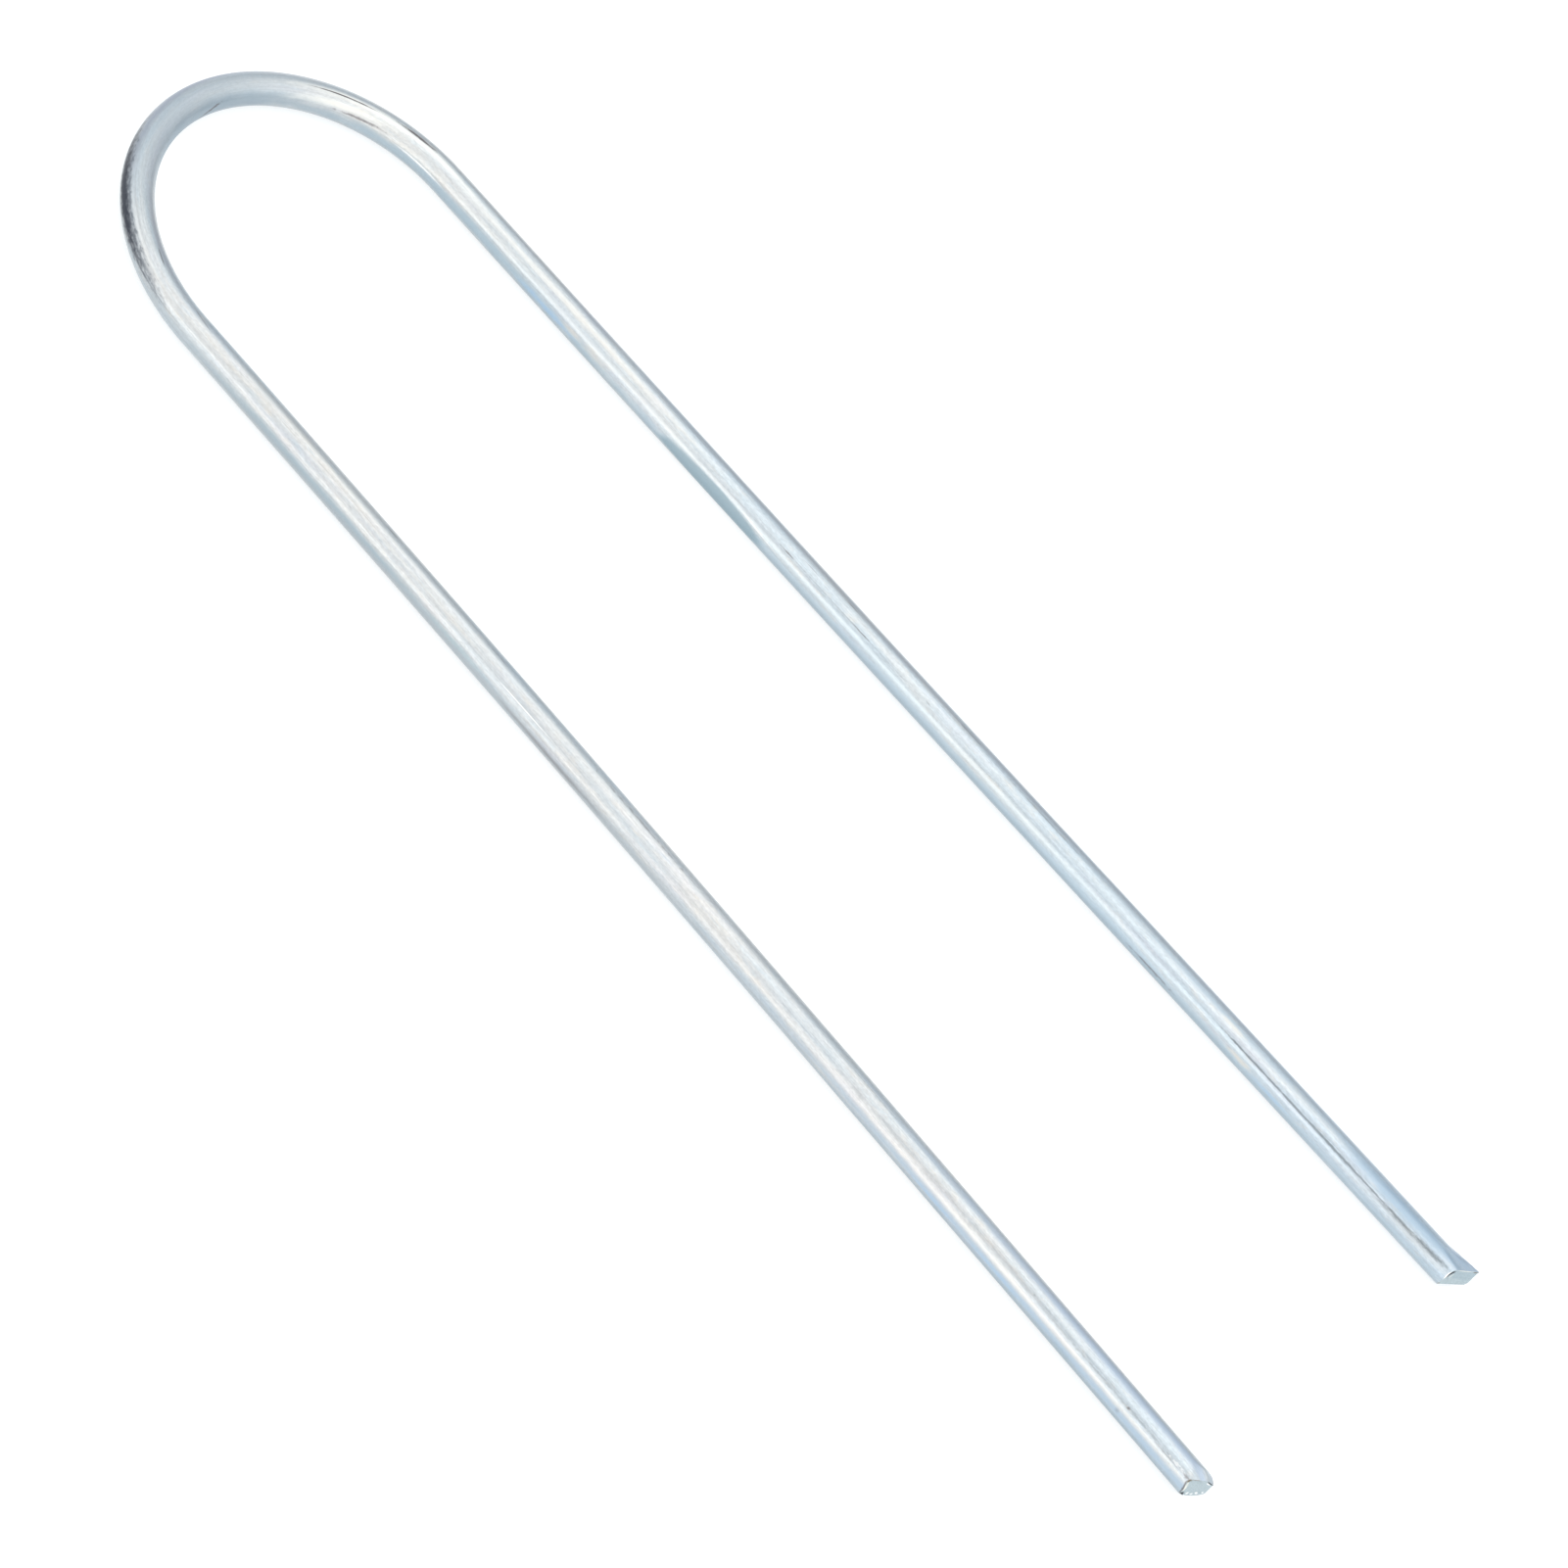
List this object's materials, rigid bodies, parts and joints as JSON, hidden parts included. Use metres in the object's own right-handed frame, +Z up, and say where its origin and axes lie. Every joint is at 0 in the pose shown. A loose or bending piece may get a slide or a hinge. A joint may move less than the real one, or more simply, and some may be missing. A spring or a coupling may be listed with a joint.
{
  "type": "ground staple",
  "caption": "U-shaped ground staple of one bent round wire, with a half-round bend, long slightly splayed legs and sheared oblique tips.",
  "frame": {"origin": "on the floor under the middle of the staple's bounding box, the staple lying flat on its side", "axes": "+Y along the legs from the tips to the crown of the bend, +X across the legs from the left leg to the right one, +Z up, square to the plane of the bend"},
  "size_m": [0.0566, 0.1966, 0.004],
  "materials": {
    "zinc_plate": "satin bright zinc plate with faint blue and cream tints"
  },
  "bodies": {
    "root": {"staple": "zinc_plate"}
  },
  "joints": []
}
